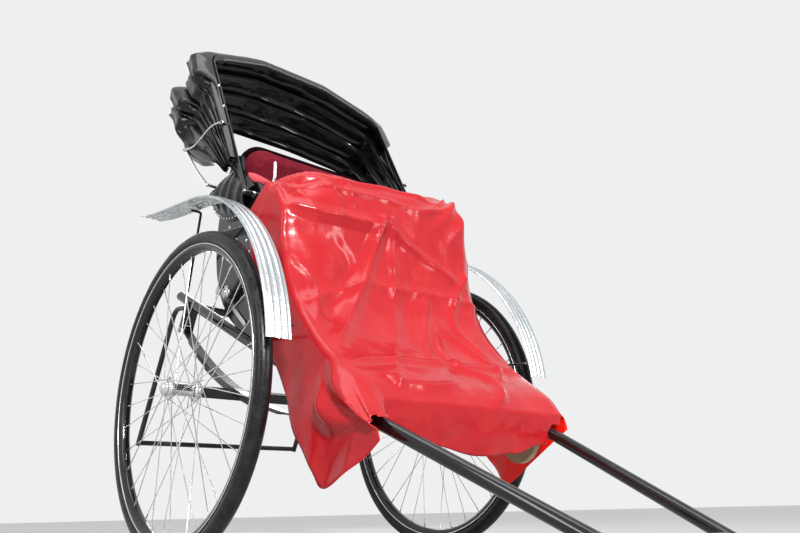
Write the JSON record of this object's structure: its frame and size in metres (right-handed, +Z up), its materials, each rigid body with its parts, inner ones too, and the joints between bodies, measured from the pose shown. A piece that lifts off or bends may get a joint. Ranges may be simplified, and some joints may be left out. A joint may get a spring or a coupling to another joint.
{
  "type": "pulled rickshaw",
  "caption": "Two-wheeled hand-pulled passenger cart with wire wheels, long shafts, leaf springs, a folding hood and a red lap cover, parked on its shafts.",
  "frame": {"origin": "on the ground below the middle of the outline", "axes": "+Z up, -Y ahead to the shaft tips, +X to the rickshaw's left, parked on its shafts"},
  "size_m": [1.347, 2.378, 2.2329],
  "materials": {
    "black_lacquer": "high gloss black lacquer",
    "black_iron": "black enamel on iron",
    "plated_iron": "bright plating",
    "polished_steel": "polished stainless steel",
    "tyre_rubber": "smooth solid rubber",
    "floor_wood": "worn varnished wood",
    "red_velvet": "dark red velvet",
    "hood_leather": "glossy black coated hood cloth",
    "red_vinyl": "glossy red vinyl sheet"
  },
  "bodies": {
    "carriage": {"shaft_left": "black_lacquer", "shaft_right": "black_lacquer", "shaft_caps": "plated_iron", "cross_member_front": "black_lacquer", "cross_member_rear": "black_lacquer", "pull_bar": "black_lacquer", "axle": "black_iron", "leaf_spring_left": "black_iron", "leaf_spring_right": "black_iron", "spring_hangers": "black_iron", "tip_guard_legs": "black_iron", "tip_guard_bar": "black_iron", "body_side_left": "black_lacquer", "body_side_right": "black_lacquer", "back_panel": "black_lacquer", "footboard": "floor_wood", "seat_riser": "black_lacquer", "seat_floor": "black_lacquer", "seat_board": "black_lacquer", "toe_board": "black_lacquer", "seat_cushion": "red_velvet", "back_cushion": "red_velvet", "arm_pad_left": "red_velvet", "arm_pad_right": "red_velvet", "mudguard_left": "polished_steel", "mudguard_right": "polished_steel", "mudguard_stays_left": "black_iron", "mudguard_stays_right": "black_iron", "hood_pins": "plated_iron", "hood_skirts": "hood_leather", "lap_cover": "red_vinyl", "cover_hooks": "plated_iron", "body_braces": "plated_iron", "nose_brackets": "floor_wood"},
    "wheel_left": {"tyre_left": "tyre_rubber", "rim_left": "black_lacquer", "spokes_left": "polished_steel", "hub_left": "plated_iron"},
    "wheel_right": {"tyre_right": "tyre_rubber", "rim_right": "black_lacquer", "spokes_right": "polished_steel", "hub_right": "plated_iron"},
    "hood_1": {"hood_bow_1": "black_iron", "hood_cloth_1": "hood_leather"},
    "hood_2": {"hood_bow_2": "black_iron", "hood_cloth_2": "hood_leather"},
    "hood_3": {"hood_bow_3": "black_iron", "hood_cloth_3": "hood_leather"},
    "hood_4": {"hood_bow_4": "black_iron", "hood_cloth_4": "hood_leather"},
    "lower_irons": {"lower_irons": "plated_iron"},
    "upper_irons": {"upper_irons": "plated_iron"}
  },
  "joints": [
    {"name": "wheel_left_spin", "type": "hinge", "parent": "carriage", "child": "wheel_left", "pos_m": [0.5935, 0.34573, 0.56], "axis": [1, 0, 0], "continuous": true},
    {"name": "wheel_right_spin", "type": "hinge", "parent": "carriage", "child": "wheel_right", "pos_m": [-0.5935, 0.34573, 0.56], "axis": [1, 0, 0], "continuous": true},
    {"name": "hood_open", "type": "hinge", "parent": "carriage", "child": "hood_4", "pos_m": [0, 0.21735, 1.29407], "axis": [1, 0, 0], "range_deg": [0, 27]},
    {"name": "hood_bow_3_follow", "type": "hinge", "parent": "hood_4", "child": "hood_3", "pos_m": [0, 0.21735, 1.29407], "axis": [1, 0, 0], "range_deg": [0, 25]},
    {"name": "hood_bow_2_follow", "type": "hinge", "parent": "hood_3", "child": "hood_2", "pos_m": [0, 0.21735, 1.29407], "axis": [1, 0, 0], "range_deg": [0, 25]},
    {"name": "hood_bow_1_follow", "type": "hinge", "parent": "hood_2", "child": "hood_1", "pos_m": [0, 0.21735, 1.29407], "axis": [1, 0, 0], "range_deg": [0, 25]},
    {"name": "lower_irons_fold", "type": "hinge", "parent": "carriage", "child": "lower_irons", "pos_m": [0, 0.49085, 1.41376], "axis": [1, 0, 0], "range_deg": [0, 122.01]},
    {"name": "upper_irons_fold", "type": "hinge", "parent": "hood_1", "child": "upper_irons", "pos_m": [0, 0.38161, 1.64779], "axis": [1, 0, 0], "range_deg": [-88.11, 0]}
  ],
  "couplings": [
    {"joint": "hood_bow_3_follow", "follows": "hood_open", "ratio": 0.92593},
    {"joint": "hood_bow_2_follow", "follows": "hood_open", "ratio": 0.92593},
    {"joint": "hood_bow_1_follow", "follows": "hood_open", "ratio": 0.92593},
    {"joint": "lower_irons_fold", "follows": "hood_open", "ratio": 4.5184},
    {"joint": "upper_irons_fold", "follows": "hood_open", "ratio": -3.2629}
  ]
}
